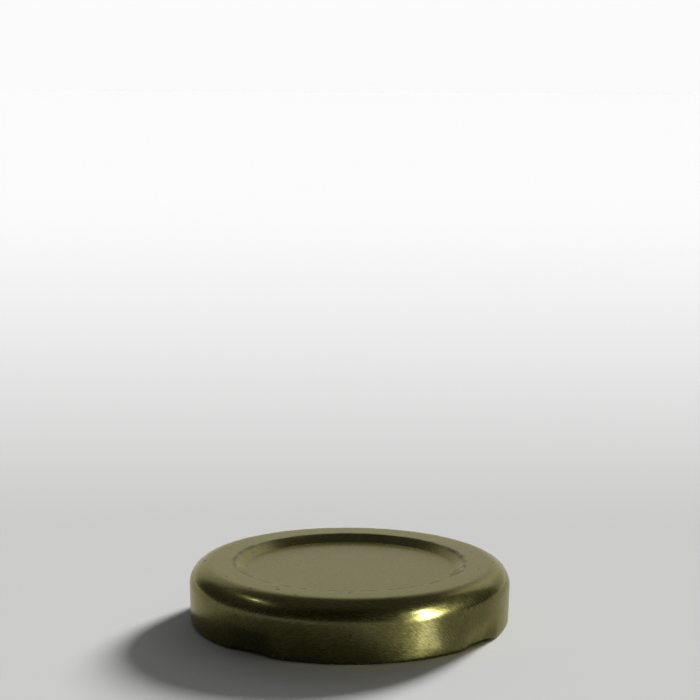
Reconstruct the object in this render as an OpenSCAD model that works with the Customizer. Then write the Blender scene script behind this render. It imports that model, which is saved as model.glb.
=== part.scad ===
// Twist-off jar lid: a lug cap pressed from one disc of thin sheet, stood on its
// curl with the panel up. Origin at the middle of the base plane, Z is the axis.

/* [Cap] */
// Outside diameter of the skirt at its widest
cap_d = 55.8; // [45:0.1:80]
// Overall height, base of the curl to top of the rim
cap_h = 10.4; // [9:0.1:14]
// Thickness of the sheet
sheet = 0.2; // [0.14:0.01:0.3]

/* [Panel] */
// Width of the flat rim, from the shoulder to the top of the step
rim_w = 4.2; // [2.5:0.1:8]
// Width of the sloping step, from the rim in to the flat panel
step_w = 1.9; // [1.2:0.1:4]
// Depth of the panel below the rim
panel_depth = 1.2; // [0.7:0.05:2]
// Bend radius at the foot of the step, on the top side
foot_r = 0.5; // [0.2:0.05:1]
// Bend radius at the top of the step, on the top side
edge_r = 0.6; // [0.35:0.05:1]

/* [Skirt] */
// Radius of the rounded shoulder, on the outside
shoulder_r = 3.7; // [2.5:0.1:4.5]
// Draft of the skirt, narrowing towards the base, in degrees
skirt_draft = 1.6; // [0:0.1:3]

/* [Curl] */
// Width and height of the rolled curl, measured over the sheet
curl_w = 1.5; // [1.2:0.05:2]
// How far round the curl is rolled, in degrees from the skirt
curl_turn = 285; // [240:5:300]

/* [Lugs] */
// Number of lugs
lug_count = 4; // [3:1:6]
// Turn of the first lug about the axis, in degrees
lug_phase = 53; // [0:0.5:90]
// Length of each lug round the cap
lug_len = 2.2; // [1.5:0.1:6]
// Length of the blend at each end of a lug
lug_run = 4.6; // [3:0.1:6]
// How far the skirt is drawn in above a lug
lug_in = 0.7; // [0.4:0.05:1.6]
// How far a lug is lifted off the base plane
lug_lift = 0.25; // [0.2:0.05:1]
// Reach of a lug, across the flattened curl
lug_reach = 2.1; // [1.5:0.05:2.4]
// Height of a lug, over the flattened curl
lug_h = 1.25; // [1:0.05:1.5]
// Height on the skirt where the drawing-in starts
lug_top = 4.6; // [3.6:0.1:5.2]

/* [Seal] */
// Depth of the sealing compound at the shoulder, below the underside of the rim
seal_depth = 1.1; // [0.6:0.05:1.6]
// Height of the compound's inner edge above the foot of the step
seal_foot = 0.2; // [0.1:0.05:0.4]
// Hollow of the compound's face, at the middle of the ring
seal_dish = 0.14; // [0:0.02:0.3]
// Gap between the compound and the sheet around it
seal_fit = 0.01; // [0.01:0.005:0.05]

/* [Hidden] */
$fn = 96;

half = sheet / 2;
rad = cap_d / 2;
floor_z = cap_h - panel_depth;
step_a = atan(panel_depth / step_w);
shoulder_c = [rad - shoulder_r, cap_h - shoulder_r];
rim_in = shoulder_c[0] - rim_w;
edge_c = [rim_in + edge_r * tan(step_a / 2), cap_h - edge_r];
foot_c = [rim_in - step_w - foot_r * tan(step_a / 2), floor_z + foot_r];
curl_r = curl_w / 2;

// Steps round each bend of the section
foot_n = 5;
edge_n = 5;
shoulder_n = 14;
curl_n = 14;
skirt_n = 5;
lug_n = 10;

// A lug piece runs from the flat of the rim down to the curl. Its ends are let this far
// into the sheet around it, this much thinner and with the curl this many degrees short
lap = 0.3;
lap_thin = 0.02;
lap_turn = 4;
lug_from = (edge_c[0] + shoulder_c[0]) / 2;

function dir(a) = [cos(a), sin(a)];
function smooth(u) = u <= 0 ? 0 : u >= 1 ? 1 : u * u * (3 - 2 * u);

// The section is the middle line of the sheet. Each station is [r, z, a, h]: a point, the
// direction a of the outer face, and half of the thickness there.
function bend(c, r, a0, a1, n, side = 1) = [for (i = [0:n]) let (a = a0 + (a1 - a0) * i / n)
    let (p = c + side * r * dir(a)) [p[0], p[1], a, half]];
function thick(st, h) = [for (s = st) [s[0], s[1], s[2], h]];
function face(st, side) = [for (s = st) [s[0], s[1]] + side * s[3] * dir(s[2])];

// Outside of the straight skirt at height z, less half of the sheet
function skirt_r(z) = shoulder_c[0] + (shoulder_r - half) / cos(skirt_draft)
    - (shoulder_c[1] - z) * tan(skirt_draft);

// The curl at lug weight w, 0 for the round curl and 1 for the middle of a lug
function across(w) = curl_r - half + w * (lug_reach - curl_w) / 2;
function upright(w) = curl_r - half + w * (lug_h - curl_w) / 2;
function start_a(w) = -atan(upright(w) / across(w) * tan(skirt_draft));
function centre_z(w) = upright(w) + half + w * lug_lift;
function start_z(w) = centre_z(w) + upright(w) * sin(start_a(w));
function centre_r(w) = skirt_r(start_z(w)) - w * lug_in - across(w) * cos(start_a(w));
function curl(w, h, short = 0) = let (a0 = start_a(w)) [for (i = [0:curl_n])
    let (a = a0 + (short - curl_turn - a0) * i / curl_n)
    let (out = atan2(across(w) * sin(a), upright(w) * cos(a)))
    [centre_r(w) + across(w) * cos(a), centre_z(w) + upright(w) * sin(a), out, h]];

// The skirt above a lug, drawn in along an S from lug_top down to the start of the curl
function drawn_r(z, w) = skirt_r(z) - w * lug_in * smooth((lug_top - z) / (lug_top - start_z(w)));
function drawn_a(z, w) = -atan((drawn_r(z + 0.01, w) - drawn_r(z - 0.01, w)) / 0.02);
function drawn(w, h) = let (z1 = start_z(w)) [for (i = [0:skirt_n - 1])
    let (z = lug_top + (z1 - lug_top) * i / skirt_n)
    [drawn_r(z, w), z, drawn_a(z, w), h]];

foot_st = bend(foot_c, foot_r + half, 90, 90 + step_a, foot_n, -1);
edge_st = bend(edge_c, edge_r - half, 90 + step_a, 90, edge_n);
shoulder_st = concat(bend(shoulder_c, shoulder_r - half, 90, 0, shoulder_n),
    skirt_draft > 0 ? [bend(shoulder_c, shoulder_r - half, 0, -skirt_draft, 1)[1]] : []);
top_st = concat([[0, floor_z - half, 90, half]], foot_st, edge_st, shoulder_st);
shell_st = concat(top_st, curl(0, half));

function ring_faces(m, n) = [for (j = [0:n - 2], i = [0:m - 1]) let (k = (i + 1) % m)
    each [[j * m + i, (j + 1) * m + i, (j + 1) * m + k], [j * m + i, (j + 1) * m + k, j * m + k]]];
function end_faces(m, first, flip) = [for (i = [0:m / 2 - 2]) let (k = m - 1 - i)
    each [for (f = [[i, i + 1, k - 1], [i, k - 1, k]])
        [for (v = flip ? [f[2], f[1], f[0]] : f) first + v]]];

lug_a = lug_len / rad * 180 / PI;
run_a = lug_run / rad * 180 / PI;
lap_a = lap / rad * 180 / PI;
reach_a = lug_a / 2 + run_a;

// Turn of each section across a lug, from one lap to the other
lug_turns = concat([-reach_a - lap_a], [for (i = [0:lug_n]) (reach_a - lap_a) * (2 * i / lug_n - 1)],
    [reach_a + lap_a]);

function weight(a) = smooth((reach_a - abs(a)) / run_a);
function lug_st(a, w, h, short) = concat([[(lug_from - lap) / cos(a), cap_h - half, 90, half - lap_thin]],
    [[(lug_from + lap) / cos(a), cap_h - half, 90, h]], thick(shoulder_st, h), drawn(w, h), curl(w, h, short));

module lug() {
    n = len(lug_turns);
    loops = [for (j = [0:n - 1]) let (a = lug_turns[j])
        let (let_in = j == 0 || j == n - 1)
        let (st = lug_st(a, weight(a), let_in ? half - lap_thin : half, let_in ? lap_turn : 0))
        let (out = face(st, 1), in = face(st, -1))
        [for (p = concat(out, [for (i = [len(in) - 1:-1:0]) in[i]])) [p[0] * cos(a), p[0] * sin(a), p[1]]]];
    m = len(loops[0]);
    polyhedron([for (l = loops) each l],
        concat(ring_faces(m, n), end_faces(m, 0, false), end_faces(m, (n - 1) * m, true)));
}

// The opening in the plain cap that one lug piece fills
module lug_window() {
    far = rad + 1;
    translate([0, 0, -1]) linear_extrude(cap_h + 2) polygon([for (r = [lug_from, far]) each
        [for (s = r == far ? [1, -1] : [-1, 1]) [r, s * r * tan(reach_a)]]]);
}

module at_lugs() {
    for (i = [0:lug_count - 1]) rotate([0, 0, lug_phase + i * 360 / lug_count]) children();
}

// One drawn sheet: panel, step, rim, shoulder, skirt, rolled curl and the lugs formed from it
module cap_shell() {
    color([0.52, 0.49, 0.36]) union() {
        difference() {
            rotate_extrude() polygon(concat(face(shell_st, 1),
                [for (i = [len(shell_st) - 1:-1:0]) face(shell_st, -1)[i]]));
            at_lugs() lug_window();
        }
        at_lugs() lug();
    }
}

// Flowed-in compound that fills the channel under the rim and seals on the jar's mouth
seal_r = shoulder_r - sheet - seal_fit;
seal_edge_a = asin((seal_r - seal_depth) / seal_r);
seal_h = half + seal_fit;
wall_foot = face(thick([foot_st[foot_n]], seal_h), -1)[0];
wall_top = face(thick([edge_st[0]], seal_h), -1)[0];
seal_in = wall_foot + seal_foot / (wall_top[1] - wall_foot[1]) * (wall_top - wall_foot);
seal_arc = [for (p = shoulder_st) if (p[2] > seal_edge_a) p];
seal_out = shoulder_c + seal_r * dir(seal_edge_a);

module sealing_ring() {
    back = concat([seal_in], face(thick(edge_st, seal_h), -1), face(thick(seal_arc, seal_h), -1), [seal_out]);
    dish = [for (i = [1:9]) let (u = i / 10)
        seal_out + u * (seal_in - seal_out) + [0, seal_dish * 4 * u * (1 - u)]];
    color([0.86, 0.84, 0.79]) rotate_extrude() polygon(concat(back, dish));
}

cap_shell();
sealing_ring();
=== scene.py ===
import bpy
import math
import numpy as np
from mathutils import Matrix, Vector


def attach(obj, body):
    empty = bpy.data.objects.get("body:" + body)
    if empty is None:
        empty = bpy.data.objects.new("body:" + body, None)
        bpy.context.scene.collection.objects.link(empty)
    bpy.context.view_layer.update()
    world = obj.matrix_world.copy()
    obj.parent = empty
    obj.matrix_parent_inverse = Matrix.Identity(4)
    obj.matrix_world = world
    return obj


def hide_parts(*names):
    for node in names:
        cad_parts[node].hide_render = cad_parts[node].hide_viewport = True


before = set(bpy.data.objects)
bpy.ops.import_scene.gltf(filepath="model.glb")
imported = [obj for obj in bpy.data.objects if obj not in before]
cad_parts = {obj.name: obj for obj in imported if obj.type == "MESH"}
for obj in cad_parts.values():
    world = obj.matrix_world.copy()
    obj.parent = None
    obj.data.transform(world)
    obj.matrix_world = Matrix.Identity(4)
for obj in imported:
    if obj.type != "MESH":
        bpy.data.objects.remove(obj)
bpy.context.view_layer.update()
mm = 0.001

# The drawn shell: sizes in mm and degrees, the same section as the source's
shellCut = {
    "diameter": 55.8, "height": 10.4, "sheet": 0.2,
    "rimWidth": 4.2, "stepWidth": 1.9, "panelDepth": 1.2, "footRadius": 0.5, "edgeRadius": 0.6,
    "shoulderRadius": 3.7, "draft": 1.6, "curlWidth": 1.5, "curlTurn": 285,
    "lugCount": 4, "lugPhase": 53, "lugLength": 2.2, "lugRun": 4.6, "lugIn": 0.7,
    "lugLift": 0.25, "lugReach": 2.1, "lugHeight": 1.25, "lugTop": 4.6, "grainScale": 0.01,
    "angles": 416, "panelRings": 6, "footSteps": 7, "edgeSteps": 8, "rimSteps": 3,
    "shoulderSteps": 22, "skirtSteps": 14, "curlSteps": 34,
}


# 3u² - 2u³ with u held between 0 and 1: flat at both ends
def easeStep(u):
    u = np.clip(u, 0, 1)
    return u * u * (3 - 2 * u)


# Points of an arc round a centre with the direction of the outer face at each, as rows of r, z, turn
def bendLine(centre, radius, fromTurn, toTurn, steps, side=1):
    turn = np.linspace(fromTurn, toTurn, steps + 1)
    return np.stack([centre[0] + side * radius * np.cos(turn),
                     centre[1] + side * radius * np.sin(turn), turn])


# Fixed points of the section: half sheet, step slope and the centres of its bends
def capSection(cut):
    half = cut["sheet"] / 2
    slope = math.atan(cut["panelDepth"] / cut["stepWidth"])
    shoulder = (cut["diameter"] / 2 - cut["shoulderRadius"],
                cut["height"] - cut["shoulderRadius"])
    rimInner = shoulder[0] - cut["rimWidth"]
    edge = (rimInner + cut["edgeRadius"] * math.tan(slope / 2), cut["height"] - cut["edgeRadius"])
    foot = (rimInner - cut["stepWidth"] - cut["footRadius"] * math.tan(slope / 2),
            cut["height"] - cut["panelDepth"] + cut["footRadius"])
    return half, slope, shoulder, edge, foot


# Middle line of the sheet from the axis out: flat panel, foot bend, edge bend, rim, shoulder
def topLine(cut):
    half, slope, shoulder, edge, foot = capSection(cut)
    up = math.pi / 2
    panel = np.stack([np.linspace(0, foot[0], cut["panelRings"] + 1)[:-1],
                      np.full(cut["panelRings"], foot[1] - cut["footRadius"] - half),
                      np.full(cut["panelRings"], up)])
    footBend = bendLine(foot, cut["footRadius"] + half, up, up + slope, cut["footSteps"], -1)
    edgeBend = bendLine(edge, cut["edgeRadius"] - half, up + slope, up, cut["edgeSteps"])
    rim = np.stack([np.linspace(edge[0], shoulder[0], cut["rimSteps"] + 1)[1:-1],
                    np.full(cut["rimSteps"] - 1, cut["height"] - half),
                    np.full(cut["rimSteps"] - 1, up)])
    shoulderBend = bendLine(shoulder, cut["shoulderRadius"] - half, up,
                            -math.radians(cut["draft"]), cut["shoulderSteps"])
    return np.concatenate([panel, footBend, edgeBend, rim, shoulderBend], axis=1)


# 1 over the middle of a lug, 0 between lugs, easing over the run at each end
def lugWeight(cut, angle):
    turn = 2 * math.pi / cut["lugCount"]
    nearest = (angle - math.radians(cut["lugPhase"]) + turn / 2) % turn - turn / 2
    fromLug = np.abs(nearest) * cut["diameter"] / 2
    return easeStep((cut["lugLength"] / 2 + cut["lugRun"] - fromLug) / cut["lugRun"])


# Skirt and curl at each angle: a straight draft, drawn in along an S over a lug, then an
# ellipse rolled inwards
def lowerLine(cut, weight):
    half, _, shoulder, _, _ = capSection(cut)
    tilt = math.radians(cut["draft"])
    curl = cut["curlWidth"] / 2 - half
    across = curl + weight * (cut["lugReach"] - cut["curlWidth"]) / 2
    upright = curl + weight * (cut["lugHeight"] - cut["curlWidth"]) / 2
    start = -np.arctan(upright / across * math.tan(tilt))
    centreZ = upright + half + weight * cut["lugLift"]
    startZ = centreZ + upright * np.sin(start)

    def plainR(z):
        return (shoulder[0] + (cut["shoulderRadius"] - half) / math.cos(tilt)
                - (shoulder[1] - z) * math.tan(tilt))

    def drawnR(z):
        down = (cut["lugTop"] - z) / (cut["lugTop"] - startZ)
        return plainR(z) - weight * cut["lugIn"] * easeStep(down)

    shoulderEnd = shoulder[1] - (cut["shoulderRadius"] - half) * math.sin(tilt)
    u = np.linspace(0, 1, cut["skirtSteps"] + 1)[1:-1]
    z = shoulderEnd + (startZ - shoulderEnd) * u
    near = 0.01   # step in mm for the skirt's slope
    skirt = [drawnR(z), z, -np.arctan((drawnR(z + near) - drawnR(z - near)) / (2 * near))]
    rolled = np.linspace(0, 1, cut["curlSteps"] + 1)
    turn = start + (-math.radians(cut["curlTurn"]) - start) * rolled
    centreR = plainR(startZ) - weight * cut["lugIn"] - across * np.cos(start)
    roll = [centreR + across * np.cos(turn), centreZ + upright * np.sin(turn),
            np.arctan2(across * np.sin(turn), upright * np.cos(turn))]
    return np.stack([np.concatenate([a, b], axis=1) for a, b in zip(skirt, roll)])


# Quads between neighbouring rings of a grid that closes on itself round the axis
def gridFaces(rows, count):
    j, k = np.meshgrid(np.arange(rows - 1), np.arange(count), indexing="ij")
    here, below, n = j * count, (j + 1) * count, (k + 1) % count
    return np.stack([here + k, below + k, below + n, here + n], -1).reshape(-1, 4)


# One closed mesh from points in mm, quads and pole triangles, with vectors stored at its points
def meshPiece(name, points, quads, fans, marks):
    faces = [quads.reshape(-1)] + [f.reshape(-1) for f in fans]
    sizes = np.concatenate([np.full(len(quads), 4)] + [np.full(len(f), 3) for f in fans])
    loops = np.concatenate(faces)
    mesh = bpy.data.meshes.new(name)
    mesh.vertices.add(len(points))
    mesh.vertices.foreach_set("co", (points * mm).astype(np.float32).ravel())
    mesh.loops.add(len(loops))
    mesh.loops.foreach_set("vertex_index", loops.astype(np.int32))
    mesh.polygons.add(len(sizes))
    mesh.polygons.foreach_set("loop_start", (np.cumsum(sizes) - sizes).astype(np.int32))
    mesh.polygons.foreach_set("loop_total", sizes.astype(np.int32))
    mesh.polygons.foreach_set("use_smooth", np.ones(len(sizes), bool))
    mesh.update(calc_edges=True)
    for label, values in marks.items():
        layer = mesh.attributes.new(label, "FLOAT_VECTOR", "POINT")
        layer.data.foreach_set("vector", values.astype(np.float32).ravel())
    mesh.validate()
    piece = bpy.data.objects.new(name, mesh)
    bpy.context.scene.collection.objects.link(piece)
    return piece


# The whole lid as one sheet: its middle line swept round the axis, then moved half a sheet out
# and half a sheet in
def makeShell(cut):
    angle = np.linspace(0, 2 * math.pi, cut["angles"], endpoint=False)[:, None]
    weight = lugWeight(cut, angle)
    top = topLine(cut)
    fixed = np.repeat(top[:, None, :], cut["angles"], axis=1)
    line = np.concatenate([fixed, lowerLine(cut, weight)], axis=2)
    r, z, turn = line
    along = np.cumsum(np.hypot(np.diff(r), np.diff(z)), axis=1)
    blank = np.concatenate([np.zeros((cut["angles"], 1)), along], axis=1)   # radius on the flat blank
    half = cut["sheet"] / 2
    bent = np.abs(np.gradient(turn, axis=1)) / np.maximum(np.gradient(blank, axis=1), 1e-6)
    cutEnd = np.zeros_like(r)
    cutEnd[:, -1] = 1
    faces = []
    for side in (1, -1):
        rr, zz = r + side * half * np.cos(turn), z + side * half * np.sin(turn)
        where = np.stack([rr * np.cos(angle), rr * np.sin(angle), zz], -1)
        inside = np.full_like(blank, 0.5 - side / 2)
        flat = np.stack([blank * np.cos(angle), blank * np.sin(angle), inside], -1)
        place = np.stack([bent, cutEnd, np.zeros_like(r)], -1)   # bend per mm and the cut edge
        faces.append([a.transpose(1, 0, 2) for a in (where, flat, place)])
    rows = [np.concatenate([o[1:], i[:0:-1]]) for o, i in zip(*faces)]
    poles = [np.stack([o[0, 0], i[0, 0]]) for o, i in zip(*faces)]
    points, flat, place = [np.concatenate([a.reshape(-1, 3), p]) for a, p in zip(rows, poles)]
    count, last = cut["angles"], len(rows[0]) - 1
    k = np.arange(count)
    n = (k + 1) % count
    topPole = np.full(count, len(points) - 2)
    fans = [np.stack([topPole, k, n], -1),
            np.stack([topPole + 1, last * count + n, last * count + k], -1)]
    marks = {"blank": flat, "place": place}
    shell = meshPiece("capShell", points, gridFaces(last + 1, count), fans, marks)
    corners = np.empty(len(shell.data.loops), np.int32)
    shell.data.loops.foreach_get("vertex_index", corners)
    across = shell.data.uv_layers.new(name="acrossGrain")   # its first direction runs across the grain
    spread = flat[corners][:, [1, 0]] * (cut["grainScale"], -cut["grainScale"])
    across.data.foreach_set("uv", spread.astype(np.float32).ravel())
    print("shell drawn:", len(shell.data.polygons), "faces")
    return shell


# The sealing compound, in mm
sealCut = {
    "depth": 1.1, "foot": 0.2, "dish": 0.14, "gap": 0.01,
    "angles": 260, "shoulderSteps": 16, "faceSteps": 26,
}


# Compound that fills the channel: its back follows the sheet, and its free face is a straight
# line hollowed by a parabola
def makeSeal(cut, cap):
    half, slope, shoulder, edge, foot = capSection(cap)
    up = math.pi / 2
    offset = half + cut["gap"]

    def back(line):
        return np.stack([line[0] - offset * np.cos(line[2]), line[1] - offset * np.sin(line[2])], -1)

    footBend = bendLine(foot, cap["footRadius"] + half, up, up + slope, cap["footSteps"], -1)
    edgeBack = back(bendLine(edge, cap["edgeRadius"] - half, up + slope, up, cap["edgeSteps"]))
    wallFoot, wallTop = back(footBend)[-1], edgeBack[0]
    inner = wallFoot + cut["foot"] / (wallTop[1] - wallFoot[1]) * (wallTop - wallFoot)
    reach = cap["shoulderRadius"] - cap["sheet"] - cut["gap"]
    low = math.asin((reach - cut["depth"]) / reach)
    shoulderBack = back(bendLine(shoulder, cap["shoulderRadius"] - half, up, low, cut["shoulderSteps"]))
    outer = shoulderBack[-1]
    u = np.linspace(0, 1, cut["faceSteps"] + 1)[1:-1, None]
    free = outer + u * (inner - outer) + np.array([0, 4 * cut["dish"]]) * u * (1 - u)
    profile = np.concatenate([inner[None], edgeBack, shoulderBack, free])
    angle = np.linspace(0, 2 * math.pi, cut["angles"], endpoint=False)
    r, z = profile[:, 0, None], profile[:, 1, None]
    points = np.stack([r * np.cos(angle), r * np.sin(angle), z + 0 * angle], -1)
    quads = gridFaces(len(profile) + 1, cut["angles"])
    quads %= len(profile) * cut["angles"]   # the last ring meets the first
    ring = meshPiece("sealRing", points.reshape(-1, 3), quads, [], {})
    print("seal flowed in:", len(ring.data.polygons), "faces")
    return ring


# Joins an output to a socket, or sets the socket to a plain value
def link(tree, value, socket):
    if isinstance(value, bpy.types.NodeSocket):
        tree.links.new(value, socket)
    else:
        socket.default_value = value


def mathNode(tree, kind, *values, clamp=False):
    node = tree.nodes.new("ShaderNodeMath")
    node.operation, node.use_clamp = kind, clamp
    for value, socket in zip(values, node.inputs):
        link(tree, value, socket)
    return node.outputs[0]


def times(tree, a, b):
    return mathNode(tree, "MULTIPLY", a, b)


def minus(tree, a, b):
    return mathNode(tree, "SUBTRACT", a, b)


# a times b, added to c
def plusTimes(tree, a, b, c, clamp=False):
    return mathNode(tree, "MULTIPLY_ADD", a, b, c, clamp=clamp)


# Moves a level towards a target by a factor from 0 to 1
def towards(tree, factor, target, level):
    return plusTimes(tree, factor, minus(tree, target, level), level)


# Length of a vector's flat part
def flatLength(tree, x, y):
    return mathNode(tree, "SQRT", plusTimes(tree, x, x, times(tree, y, y)))


# Smooth step from low to high
def rampNode(tree, value, low, high, outLow=0.0, outHigh=1.0):
    node = tree.nodes.new("ShaderNodeMapRange")
    node.interpolation_type = "SMOOTHSTEP"
    for v, socket in zip((value, low, high, outLow, outHigh), node.inputs):
        link(tree, v, socket)
    return node.outputs[0]


# Smooth band: 1 where both ramps are
def bandNode(tree, value, rise, fall):
    return times(tree, rampNode(tree, value, *rise), rampNode(tree, value, *fall))


def mixColour(tree, factor, a, b):
    node = tree.nodes.new("ShaderNodeMix")
    node.data_type = "RGBA"
    link(tree, factor, node.inputs["Factor"])
    link(tree, a, node.inputs[6])
    link(tree, b, node.inputs[7])
    return node.outputs[2]


def noiseNode(tree, vector, scale, detail=2.0, rough=0.5, twist=0.0):
    node = tree.nodes.new("ShaderNodeTexNoise")
    link(tree, vector, node.inputs["Vector"])
    for name, value in (("Scale", scale), ("Detail", detail), ("Roughness", rough), ("Distortion", twist)):
        link(tree, value, node.inputs[name])
    return node.outputs["Fac"]


def mappedBy(tree, vector, scale, turn=0.0):
    node = tree.nodes.new("ShaderNodeMapping")
    link(tree, vector, node.inputs["Vector"])
    node.inputs["Scale"].default_value = scale
    node.inputs["Rotation"].default_value = (0, 0, turn)
    return node.outputs[0]


def partsOf(tree, vector):
    node = tree.nodes.new("ShaderNodeSeparateXYZ")
    link(tree, vector, node.inputs[0])
    return node.outputs


# A shader node group with named sockets: gives the tree, its inputs and its outputs
def startGroup(name, inputs, outputs):
    tree = bpy.data.node_groups.new(name, "ShaderNodeTree")
    for label, value in [("Vector", None)] + inputs:
        kind = "NodeSocketVector" if value is None else "NodeSocketFloat"
        socket = tree.interface.new_socket(label, in_out="INPUT", socket_type=kind)
        if value is not None:
            socket.default_value = value
    for label in outputs:
        tree.interface.new_socket(label, in_out="OUTPUT", socket_type="NodeSocketFloat")
    entry = tree.nodes.new("NodeGroupInput")
    leave = tree.nodes.new("NodeGroupOutput")
    return tree, entry.outputs, leave.inputs


def useGroup(tree, group, **values):
    node = tree.nodes.new("ShaderNodeGroup")
    node.node_tree = group
    for label, value in values.items():
        link(tree, value, node.inputs[label])
    return node.outputs


# The marks' forms: scales are per mm
markForm = {
    "wobbleScale": 2.6, "wobble": (0.5, 0.5, 0), "smallestSpeck": 0.35, "speckEdge": (1.0, 0.3),
    "hairStretch": (0.05, 0.33, 1.0), "hairTurn": 0.5, "hairNoise": (1.0, 1.0, 0.4, 0.6),
    "hairEdge": (1.0, 0.2), "breakNoise": (0.35, 3.0, 0.6), "breakFade": 0.05,
    "fineStretch": (0.85, 4.8, 1.0), "fineNoise": (1.0, 4.0, 0.68),
    "broadStretch": (0.10, 0.7, 1.0), "broadNoise": (1.0, 3.0, 0.6, 0.3),
}


# Specks: the nearest random point of a cell pattern, kept in a few cells only, full in its middle
def dustSpeckGroup(form):
    sizes = [("Spacing", 4.0), ("Size", 0.05), ("Share", 0.2)]
    tree, entry, leave = startGroup("dustSpecks", sizes, ["Mask"])
    wobble = noiseNode(tree, entry["Vector"], form["wobbleScale"], 2.0)
    spread = tree.nodes.new("ShaderNodeCombineXYZ")
    link(tree, wobble, spread.inputs[0])
    link(tree, minus(tree, 1.0, wobble), spread.inputs[1])
    shift = tree.nodes.new("ShaderNodeVectorMath")
    shift.operation = "MULTIPLY_ADD"
    for value, socket in zip((spread.outputs[0], form["wobble"], entry["Vector"]), shift.inputs):
        link(tree, value, socket)
    cells = tree.nodes.new("ShaderNodeTexVoronoi")
    link(tree, shift.outputs[0], cells.inputs["Vector"])
    link(tree, mathNode(tree, "DIVIDE", 1.0, entry["Spacing"]), cells.inputs["Scale"])
    chance = tree.nodes.new("ShaderNodeSeparateColor")
    link(tree, cells.outputs["Color"], chance.inputs[0])
    kept = mathNode(tree, "LESS_THAN", chance.outputs[0], entry["Share"])
    grown = mathNode(tree, "ADD", form["smallestSpeck"], chance.outputs[1])
    far = mathNode(tree, "DIVIDE", cells.outputs["Distance"], times(tree, grown, entry["Size"]))
    link(tree, times(tree, rampNode(tree, far, *form["speckEdge"]), kept), leave["Mask"])
    return tree


# Hair lines: thin contours of a stretched, twisted noise, kept only where a broad noise is high
def hairLineGroup(form):
    tree, entry, leave = startGroup("hairLines", [("Width", 0.004), ("Share", 0.6)], ["Mask"])
    stretched = mappedBy(tree, entry["Vector"], form["hairStretch"], form["hairTurn"])
    lines = noiseNode(tree, stretched, *form["hairNoise"])
    away = mathNode(tree, "ABSOLUTE", minus(tree, lines, 0.5))
    thin = rampNode(tree, mathNode(tree, "DIVIDE", away, entry["Width"]), *form["hairEdge"])
    broken = noiseNode(tree, entry["Vector"], *form["breakNoise"])
    full = mathNode(tree, "ADD", entry["Share"], form["breakFade"])
    link(tree, times(tree, thin, rampNode(tree, broken, entry["Share"], full)), leave["Mask"])
    return tree


# Rolling grain: two noises drawn out along the rolling direction, one fine and one broad
def rollingGrainGroup(form):
    tree, entry, leave = startGroup("rollingGrain", [], ["Fine", "Broad"])
    fine = mappedBy(tree, entry["Vector"], form["fineStretch"])
    broad = mappedBy(tree, entry["Vector"], form["broadStretch"])
    link(tree, noiseNode(tree, fine, *form["fineNoise"]), leave["Fine"])
    link(tree, noiseNode(tree, broad, *form["broadNoise"]), leave["Broad"])
    return tree


dustSpecks, hairLines = dustSpeckGroup(markForm), hairLineGroup(markForm)
rollingGrain = rollingGrainGroup(markForm)


def startMaterial(name):
    material = bpy.data.materials.new(name)
    material.use_nodes = True
    tree = material.node_tree
    return material, tree, tree.nodes["Principled BSDF"]


def readMark(tree, label):
    node = tree.nodes.new("ShaderNodeAttribute")
    node.attribute_name = label
    return node.outputs["Vector"]


# Relief in mm on a shader's normal
def raiseSurface(tree, height, shader):
    bump = tree.nodes.new("ShaderNodeBump")
    bump.inputs["Strength"].default_value = 1.0
    bump.inputs["Distance"].default_value = mm
    link(tree, height, bump.inputs["Height"])
    link(tree, bump.outputs[0], shader.inputs["Normal"])


# Gold lacquer over tinned sheet: colours are linear, depths and radii are in mm on the flat blank
lacquer = {
    "gold": (0.070, 0.065, 0.018, 1), "thinGold": (0.115, 0.107, 0.036, 1),
    "rubbed": (0.20, 0.19, 0.13, 1), "speck": (0.006, 0.006, 0.003, 1),
    "steel": (0.42, 0.42, 0.41, 1), "edgeTint": (1.0, 0.935, 0.62, 1),
    "rough": 0.17, "roughByGrain": 0.12, "roughByCloud": 0.06, "roughByMarks": 0.25, "roughByRecessShade": 0.3,
    "drawnOut": 0.55, "coat": 0.25, "coatRough": 0.12,
    "specks": {"Spacing": 2.2, "Size": 0.15, "Share": 0.22}, "speckStrength": 0.85,
    "rimDust": {"Spacing": 1.5, "Size": 0.26}, "rimDustShare": 0.22,
    "rimRise": (20.8, 21.6), "rimFall": (26.5, 24.5),
    "hairs": {"Width": 0.004, "Share": 0.60}, "hairStrength": 0.4,
    "cloudNoise": (0.13, 3.0, 0.5), "cloudRange": (0.35, 0.7), "cloudThins": 0.5,
    "grainMean": 0.44, "grainThins": 6.0,
    "recessRise": (19.6, 20.3), "recessFall": (21.1, 20.4),
    # the next noise, range and strength paint shade along the recess's edge
    "recessShadeNoise": (0.45, 4.0, 0.65), "recessShadeRange": (0.36, 0.66), "recessShadeStrength": 0.35,
    "wornBends": (0.9, 2.2), "wearNoise": (0.8, 4.0, 0.7), "wearRange": (0.5, 0.68),
    "wearFrom": (21.5, 22.0), "wearStrength": 0.35,
    "recessShadeCovers": 0.6, "marksDull": 0.6,
    "skirtRange": (26.0, 29.0), "fineDepth": (0.0115, 0.0073), "broadDepth": 0.006,
    "rippleNoise": (1.3, 2.0), "rippleDepth": 0.0007, "cloudDepth": 0.02, "hairDepth": -0.004,
}


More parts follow.
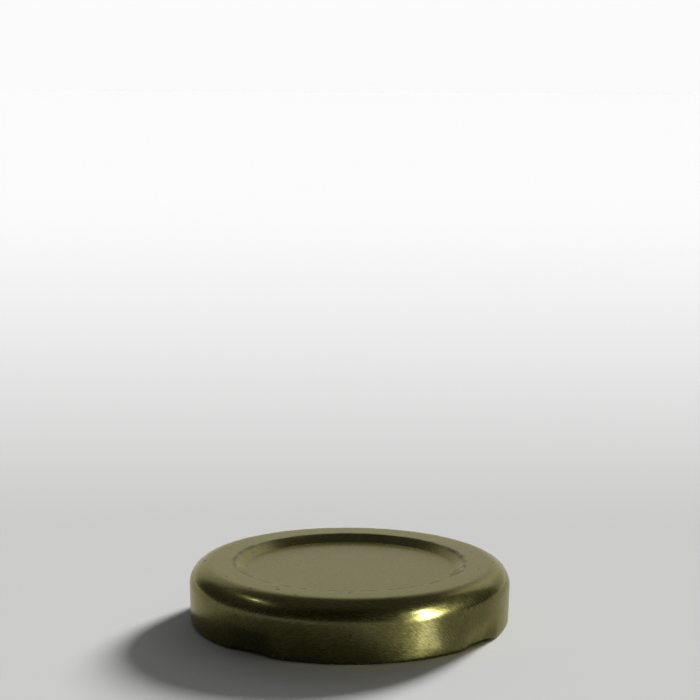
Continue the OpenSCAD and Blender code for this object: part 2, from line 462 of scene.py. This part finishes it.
def lacquerMaterial(look):
    material, tree, shader = startMaterial("goldLacquer")
    blank = readMark(tree, "blank")
    bent, cutEnd = partsOf(tree, readMark(tree, "place"))[:2]
    blankX, blankY, inside = partsOf(tree, blank)
    fromAxis = flatLength(tree, blankX, blankY)
    grain = useGroup(tree, rollingGrain, Vector=blank)
    cloud = noiseNode(tree, blank, *look["cloudNoise"])
    hairs = useGroup(tree, hairLines, Vector=blank, **look["hairs"])[0]
    # specks all over, with more and larger ones on the rim
    dustShare = times(tree, bandNode(tree, fromAxis, look["rimRise"], look["rimFall"]), look["rimDustShare"])
    rimDust = useGroup(tree, dustSpecks, Vector=blank, Share=dustShare, **look["rimDust"])[0]
    specks = useGroup(tree, dustSpecks, Vector=blank, **look["specks"])[0]
    specks = mathNode(tree, "MAXIMUM", specks, rimDust)
    # painted shade along the recess's edge: a darker, duller and rougher band, broken up by noise
    shadePatches = rampNode(tree, noiseNode(tree, blank, *look["recessShadeNoise"]), *look["recessShadeRange"])
    recessShade = times(tree, bandNode(tree, fromAxis, look["recessRise"], look["recessFall"]), shadePatches)
    # the outer face is worn on tight bends, from the rim outwards
    worn = rampNode(tree, noiseNode(tree, blank, *look["wearNoise"]), *look["wearRange"])
    outer = times(tree, minus(tree, 1.0, inside), rampNode(tree, fromAxis, *look["wearFrom"]))
    wear = times(tree, times(tree, rampNode(tree, bent, *look["wornBends"]), worn), outer)
    # colour: the lacquer is thinner in clouds and along the grain, and off at the cut edge
    clouded = times(tree, rampNode(tree, cloud, *look["cloudRange"]), look["cloudThins"])
    grained = minus(tree, grain["Fine"], look["grainMean"])
    thin = plusTimes(tree, grained, look["grainThins"], clouded, clamp=True)
    colour = mixColour(tree, thin, look["gold"], look["thinGold"])
    # the recess's painted shade is mixed in the specks' dark colour
    for mark, strength, over in ((wear, "wearStrength", "rubbed"), (hairs, "hairStrength", "rubbed"),
                                 (specks, "speckStrength", "speck"), (recessShade, "recessShadeStrength", "speck")):
        colour = mixColour(tree, times(tree, mark, look[strength]), colour, look[over])
    link(tree, mixColour(tree, cutEnd, colour, look["steel"]), shader.inputs["Base Color"])
    rough = plusTimes(tree, grain["Fine"], look["roughByGrain"], look["rough"])
    rough = plusTimes(tree, cloud, look["roughByCloud"], rough)
    rough = plusTimes(tree, mathNode(tree, "MAXIMUM", specks, wear), look["roughByMarks"], rough)
    rough = plusTimes(tree, recessShade, look["roughByRecessShade"], rough, clamp=True)
    link(tree, rough, shader.inputs["Roughness"])
    # the specks and the painted shade along the recess's edge are less metallic
    covered = mathNode(tree, "MAXIMUM", times(tree, recessShade, look["recessShadeCovers"]), specks)
    link(tree, minus(tree, 1.0, times(tree, covered, look["marksDull"])), shader.inputs["Metallic"])
    # relief: grain lines, smoother on the drawn skirt, then ripple, shallow dents and hair scratches
    depth = rampNode(tree, fromAxis, *look["skirtRange"], *look["fineDepth"])
    height = times(tree, grain["Fine"], depth)
    height = plusTimes(tree, grain["Broad"], look["broadDepth"], height)
    height = plusTimes(tree, noiseNode(tree, blank, *look["rippleNoise"]), look["rippleDepth"], height)
    height = plusTimes(tree, cloud, look["cloudDepth"], height)
    height = plusTimes(tree, hairs, look["hairDepth"], height)
    raiseSurface(tree, height, shader)
    tangent = tree.nodes.new("ShaderNodeTangent")
    tangent.direction_type, tangent.uv_map = "UV_MAP", "acrossGrain"
    link(tree, tangent.outputs[0], shader.inputs["Tangent"])
    shader.inputs["Anisotropic"].default_value = look["drawnOut"]
    shader.inputs["Specular Tint"].default_value = look["edgeTint"]
    shader.inputs["Coat Weight"].default_value = look["coat"]
    shader.inputs["Coat Roughness"].default_value = look["coatRough"]
    print("lacquer mixed")
    return material


# Soft sealing compound
compound = {
    "cream": (0.70, 0.665, 0.575, 1), "paler": (0.76, 0.735, 0.66, 1), "speck": (0.30, 0.27, 0.21, 1),
    "cloudNoise": (0.22, 3.0, 0.55), "cloudRange": (0.35, 0.65), "skinNoise": (1.9, 3.0, 0.5),
    "specks": {"Spacing": 2.2, "Size": 0.05, "Share": 0.12}, "speckStrength": 0.6,
    "rough": 0.35, "roughBySkin": 0.14, "skinDepth": 0.012, "cloudDepth": 0.06,
    "coat": 0.15, "coatRough": 0.2,
}


def compoundMaterial(look):
    material, tree, shader = startMaterial("sealCompound")
    coords = tree.nodes.new("ShaderNodeTexCoord")
    scaled = mappedBy(tree, coords.outputs["Object"], (1 / mm, 1 / mm, 1 / mm))
    cloud = noiseNode(tree, scaled, *look["cloudNoise"])
    skin = noiseNode(tree, scaled, *look["skinNoise"])
    specks = useGroup(tree, dustSpecks, Vector=scaled, **look["specks"])[0]
    pale = rampNode(tree, cloud, *look["cloudRange"])
    colour = mixColour(tree, pale, look["cream"], look["paler"])
    colour = mixColour(tree, times(tree, specks, look["speckStrength"]), colour, look["speck"])
    link(tree, colour, shader.inputs["Base Color"])
    link(tree, plusTimes(tree, skin, look["roughBySkin"], look["rough"]), shader.inputs["Roughness"])
    dents = times(tree, cloud, look["cloudDepth"])
    raiseSurface(tree, plusTimes(tree, skin, look["skinDepth"], dents), shader)
    shader.inputs["Coat Weight"].default_value = look["coat"]
    shader.inputs["Coat Roughness"].default_value = look["coatRough"]
    print("compound mixed")
    return material


shell = makeShell(shellCut)
shell.data.materials.append(lacquerMaterial(lacquer))
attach(shell, "root")
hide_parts("cap_shell")

seal = makeSeal(sealCut, shellCut)
seal.data.materials.append(compoundMaterial(compound))
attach(seal, "root")
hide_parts("sealing_ring")


# The floor's rings, in m, and its colour, which is painted light: grey at and in front of the lid, paler from
# just behind it to white far off
floorLook = {
    "rings": (0.15, 0.6, 2.0, 9.0), "angles": 96,
    "near": (0.62, 0.62, 0.615, 1), "far": (1.0, 1.0, 1.0, 1), "rough": 0.9,
    "closest": 0.01, "fade": (-1.2, 0.1),
}


def makeFloor(look):
    count, rings = look["angles"], len(look["rings"])
    angle = np.linspace(0, 2 * math.pi, count, endpoint=False)
    radius = np.array(look["rings"])[:, None] / mm
    points = np.stack([radius * np.cos(angle), radius * np.sin(angle), np.zeros((rings, count))], -1)
    points = np.concatenate([points.reshape(-1, 3), [[0, 0, 0]]])
    k = np.arange(count)
    middle = np.stack([np.full(count, rings * count), k, (k + 1) % count], -1)
    floor = meshPiece("paleFloor", points, gridFaces(rings, count), [middle], {})
    material, tree, shader = startMaterial("palePaper")
    coords = tree.nodes.new("ShaderNodeTexCoord")
    behind = mathNode(tree, "MAXIMUM", partsOf(tree, coords.outputs["Object"])[1], look["closest"])
    # painted light: the floor turns paler with distance behind the lid
    paintedBrightening = rampNode(tree, mathNode(tree, "LOGARITHM", behind, 10.0), *look["fade"])
    link(tree, mixColour(tree, paintedBrightening, look["near"], look["far"]), shader.inputs["Base Color"])
    shader.inputs["Roughness"].default_value = look["rough"]
    shader.inputs["Specular IOR Level"].default_value = 0.0
    floor.data.materials.append(material)


# Light by direction: levels, and the ramps over side, ahead and up that bound each field.
# A white backdrop low down, a pale screen behind the lid, dim walls, dimmer overhead and in front.
# The screen is wider and taller on the right, and brighter high up there
skyLook = {
    "wall": 0.09, "rightWall": 0.04, "wallSide": (-0.2, 0.5),
    "overhead": 0.15, "overheadUp": (0.62, 0.30), "front": 0.04, "frontAhead": (-0.1, -0.6),
    "screen": 0.72, "screenAhead": (0.74, 0.86), "screenUp": (0.69, 0.58),
    "screenSide": (0.25, 0.5), "screenGrowth": 0.13,
    "screenGain": 0.55, "gainSide": (0.22, 0.40), "gainUp": (0.30, 0.42),
    "backdrop": 0.965, "backdropUp": (0.075, 0.04), "backdropAhead": (0.2, 0.8),
}


def makeSky(look):
    world = bpy.data.worlds.new("studioSky")
    bpy.context.scene.world = world
    world.use_nodes = True
    tree = world.node_tree
    coords = tree.nodes.new("ShaderNodeTexCoord")
    side, ahead, up = partsOf(tree, coords.outputs["Generated"])
    wall = rampNode(tree, side, *look["wallSide"], look["wall"], look["rightWall"])
    level = rampNode(tree, up, *look["overheadUp"], look["overhead"], wall)
    level = towards(tree, rampNode(tree, ahead, *look["frontAhead"]), look["front"], level)
    grown = times(tree, rampNode(tree, side, *look["screenSide"]), look["screenGrowth"])
    facing = mathNode(tree, "ADD", mathNode(tree, "DIVIDE", ahead, flatLength(tree, side, ahead)), grown)
    screen = times(tree, rampNode(tree, facing, *look["screenAhead"]),
                   rampNode(tree, minus(tree, up, grown), *look["screenUp"]))
    rightHigh = times(tree, rampNode(tree, side, *look["gainSide"]), rampNode(tree, up, *look["gainUp"]))
    level = towards(tree, screen, plusTimes(tree, rightHigh, look["screenGain"], look["screen"]), level)
    low = times(tree, rampNode(tree, up, *look["backdropUp"]), rampNode(tree, ahead, *look["backdropAhead"]))
    background = tree.nodes["Background"]
    background.inputs["Color"].default_value = (1, 1, 1, 1)
    link(tree, towards(tree, low, look["backdrop"], level), background.inputs["Strength"])


# Lamps in degrees and m. Azimuths run from the viewer's side round by the right. The sun lights
# the floor, and the softboxes, the card and the glint show only as reflections in the lid
lampLook = {
    "backSun": {"azimuth": 150, "elevation": 20, "strength": 7.2, "spread": 12},
    "rightSoftbox": {"azimuth": 55, "elevation": 27, "size": (0.07, 0.11), "radiance": 60.0,
                     "colour": (0.88, 0.94, 1.0)},
    "rightStrip": {"azimuth": 55, "elevation": 5, "size": (0.055, 0.13), "radiance": 250.0,
                   "colour": (1, 1, 1)},
    "rightCard": {"foot": 28.3, "radius": 0.0279, "azimuth": 56.6, "reach": (0.004, 0.050),
                  "width": 0.0055, "lift": 0.0005, "radiance": 2.4},
    "leftGlint": {"azimuth": -94, "elevation": 48, "size": (0.025, 0.02), "radiance": 65.0,
                  "colour": (1, 1, 1)},
}
lampDistance, lidMiddle = 0.5, (0, 0, 0.005)


def addLight(name, kind):
    light = bpy.data.objects.new(name, bpy.data.lights.new(name, kind))
    bpy.context.scene.collection.objects.link(light)
    return light


# Sets a rectangle's sides and its power, which is the radiance times pi times its area
def sizeLight(light, width, length, radiance):
    data = light.data
    data.shape, data.size, data.size_y = "RECTANGLE", width, length
    data.energy = radiance * math.pi * width * length


# Puts a light in a direction at a distance from the origin and turns it to a target
def aimLight(light, look, away, target):
    a, e = math.radians(look["azimuth"]), math.radians(look["elevation"])
    light.location = (away * math.sin(a) * math.cos(e), -away * math.cos(a) * math.cos(e), away * math.sin(e))
    turn = (Vector(target) - light.location).to_track_quat("-Z", "Y")
    light.rotation_euler = turn.to_euler()


def makeSun(name, look):
    sun = addLight(name, "SUN")
    sun.data.energy, sun.data.angle = look["strength"], math.radians(look["spread"])
    aimLight(sun, look, 1, (0, 0, 0))
    sun.visible_glossy = False


def makeLamp(name, look):
    lamp = addLight(name, "AREA")
    sizeLight(lamp, *look["size"], look["radiance"])
    lamp.data.color = look["colour"]
    aimLight(lamp, look, lampDistance, lidMiddle)
    lamp.visible_camera = lamp.visible_diffuse = False


# A narrow lit card flat on the floor, from the skirt's foot out along an azimuth
def makeCard(name, look):
    start, end = look["reach"]
    card = addLight(name, "AREA")
    sizeLight(card, look["width"], end - start, look["radiance"])
    foot, a, middle = math.radians(look["foot"]), math.radians(look["azimuth"]), (start + end) / 2
    card.location = (look["radius"] * math.sin(foot) + middle * math.sin(a),
                     -look["radius"] * math.cos(foot) - middle * math.cos(a), look["lift"])
    card.rotation_euler = (math.pi, 0, a)
    card.visible_camera = card.visible_diffuse = False


makeFloor(floorLook)
makeSky(skyLook)
for make, name in ((makeSun, "backSun"), (makeLamp, "rightSoftbox"), (makeLamp, "rightStrip"),
                   (makeCard, "rightCard"), (makeLamp, "leftGlint")):
    make(name, lampLook[name])
print("studio lit")


# Camera at the photograph's view: distances in m, angles in degrees, focal length in pixels
lens = {
    "away": 0.343, "elevation": 15.1514, "targetZ": 0.0052, "pixel": (349.61, 589.24),
    "focal": 1945.0, "roll": 0.30, "frame": 700, "sensor": 36.0, "clip": (0.01, 60),
}


# Stands off the lid's middle, then turns until that middle falls on its pixel of the frame
def makeCamera(look):
    data = bpy.data.cameras.new("photoCamera")
    data.sensor_width, data.lens = look["sensor"], look["focal"] / look["frame"] * look["sensor"]
    data.clip_start, data.clip_end = look["clip"]
    camera = bpy.data.objects.new("photoCamera", data)
    bpy.context.scene.collection.objects.link(camera)
    e, roll = math.radians(look["elevation"]), math.radians(look["roll"])
    camera.location = (0, -look["away"] * math.cos(e), look["away"] * math.sin(e) + look["targetZ"])
    offX, offY = [p - look["frame"] / 2 for p in look["pixel"]]
    pitch = -e + math.atan(offY / look["focal"])
    sideways = offY * math.sin(roll)   # the roll is about the lid, not about the frame's middle
    yaw = math.atan(offX / look["focal"]) + math.atan(sideways / look["focal"])
    turn = (Matrix.Rotation(yaw, 4, "Z") @ Matrix.Rotation(math.pi / 2 + pitch, 4, "X")
            @ Matrix.Rotation(roll, 4, "Z"))
    camera.rotation_euler = turn.to_euler()
    bpy.context.scene.camera = camera


makeCamera(lens)
bpy.context.scene.view_settings.view_transform = "Standard"
print("camera set")
